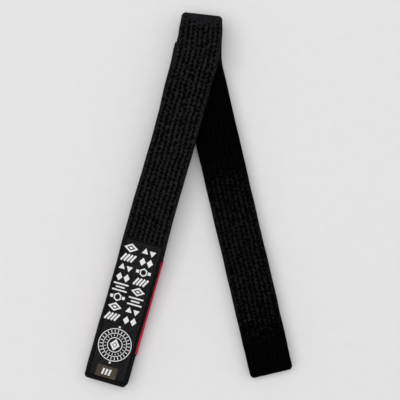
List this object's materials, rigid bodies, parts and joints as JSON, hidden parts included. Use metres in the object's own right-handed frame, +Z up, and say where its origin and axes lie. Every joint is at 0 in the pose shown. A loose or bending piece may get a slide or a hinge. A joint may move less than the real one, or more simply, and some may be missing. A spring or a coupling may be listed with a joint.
{
  "type": "folded martial arts belt",
  "caption": "Quilted black cotton martial arts belt, folded into a thick inverted V, with a red rank bar, a woven label and a size tag.",
  "frame": {"origin": "on the floor, under the middle of the folded belt's outline as seen from above", "axes": "+Z up from the floor, +Y towards the apex fold, +X from the leg with the label to the leg that lies beneath it"},
  "size_m": [0.194, 0.3474, 0.0381],
  "materials": {
    "cover_cotton": "matt black cotton, stitched in lengthwise rows",
    "core_cotton": "unbleached cotton plies",
    "bar_cloth": "red cotton cloth",
    "label_weave": "black satin weave",
    "tag_weave": "taupe woven tape",
    "thread": "black polyester sewing thread"
  },
  "bodies": {
    "right_leg": {"cover_right_run_1": "cover_cotton", "core_right_run_1": "core_cotton", "cover_right_run_2": "cover_cotton", "core_right_run_2": "core_cotton", "cover_right_run_3": "cover_cotton", "core_right_run_3": "core_cotton", "cover_right_run_4": "cover_cotton", "core_right_run_4": "core_cotton", "cover_outer_end_fold": "cover_cotton", "core_outer_end_fold": "core_cotton", "cover_inner_end_fold": "cover_cotton", "core_inner_end_fold": "core_cotton", "cover_apex_loop_1": "cover_cotton", "core_apex_loop_1": "core_cotton", "cover_apex_loop_2": "cover_cotton", "core_apex_loop_2": "core_cotton", "cover_apex_loop_3": "cover_cotton", "core_apex_loop_3": "core_cotton", "cover_apex_loop_4": "cover_cotton", "core_apex_loop_4": "core_cotton"},
    "left_leg": {"cover_left_run_3": "cover_cotton", "core_left_run_3": "core_cotton", "cover_left_run_4": "cover_cotton", "core_left_run_4": "core_cotton", "cover_left_end_fold": "cover_cotton", "core_left_end_fold": "core_cotton", "cover_bar_root": "cover_cotton", "core_bar_root": "core_cotton", "cover_bar_flex": "cover_cotton", "core_bar_flex": "core_cotton", "cover_label_root": "cover_cotton", "core_label_root": "core_cotton", "cover_label_flex_over_bar": "cover_cotton", "core_label_flex_over_bar": "core_cotton"},
    "bar_end": {"cover_bar_end": "cover_cotton", "core_bar_end": "core_cotton", "cover_label_flex": "cover_cotton", "core_label_flex": "core_cotton", "rank_bar_sleeve": "bar_cloth", "rank_bar_inner_stitching": "thread", "rank_bar_outer_stitching": "thread", "bar_end_closing_stitch": "thread"},
    "label_end": {"cover_label_end": "cover_cotton", "core_label_end": "core_cotton", "woven_label": "label_weave", "woven_label_stitching": "thread", "size_tag": "tag_weave", "size_tag_stitching": "thread", "label_end_closing_stitch": "thread"}
  },
  "joints": [
    {"name": "apex_fold", "type": "hinge", "parent": "right_leg", "child": "left_leg", "pos_m": [0.01125, 0.15267, 0.01905], "axis": [-0.9936, 0.1132, 0], "range_deg": [0, 90], "deforming": ["cover_apex_loop_1", "core_apex_loop_1", "cover_apex_loop_2", "core_apex_loop_2", "cover_apex_loop_3", "core_apex_loop_3", "cover_apex_loop_4", "core_apex_loop_4"]},
    {"name": "bar_end_lift", "type": "hinge", "parent": "left_leg", "child": "bar_end", "pos_m": [0.00097, 0.10485, 0.03105], "axis": [-0.9613, 0.2756, 0], "range_deg": [0, 45], "deforming": ["cover_bar_flex", "core_bar_flex", "cover_label_flex_over_bar", "core_label_flex_over_bar"]},
    {"name": "label_end_lift", "type": "hinge", "parent": "bar_end", "child": "label_end", "pos_m": [-0.00344, 0.08947, 0.03585], "axis": [-0.9613, 0.2756, 0], "range_deg": [0, 45], "deforming": ["cover_label_flex", "core_label_flex"]}
  ]
}
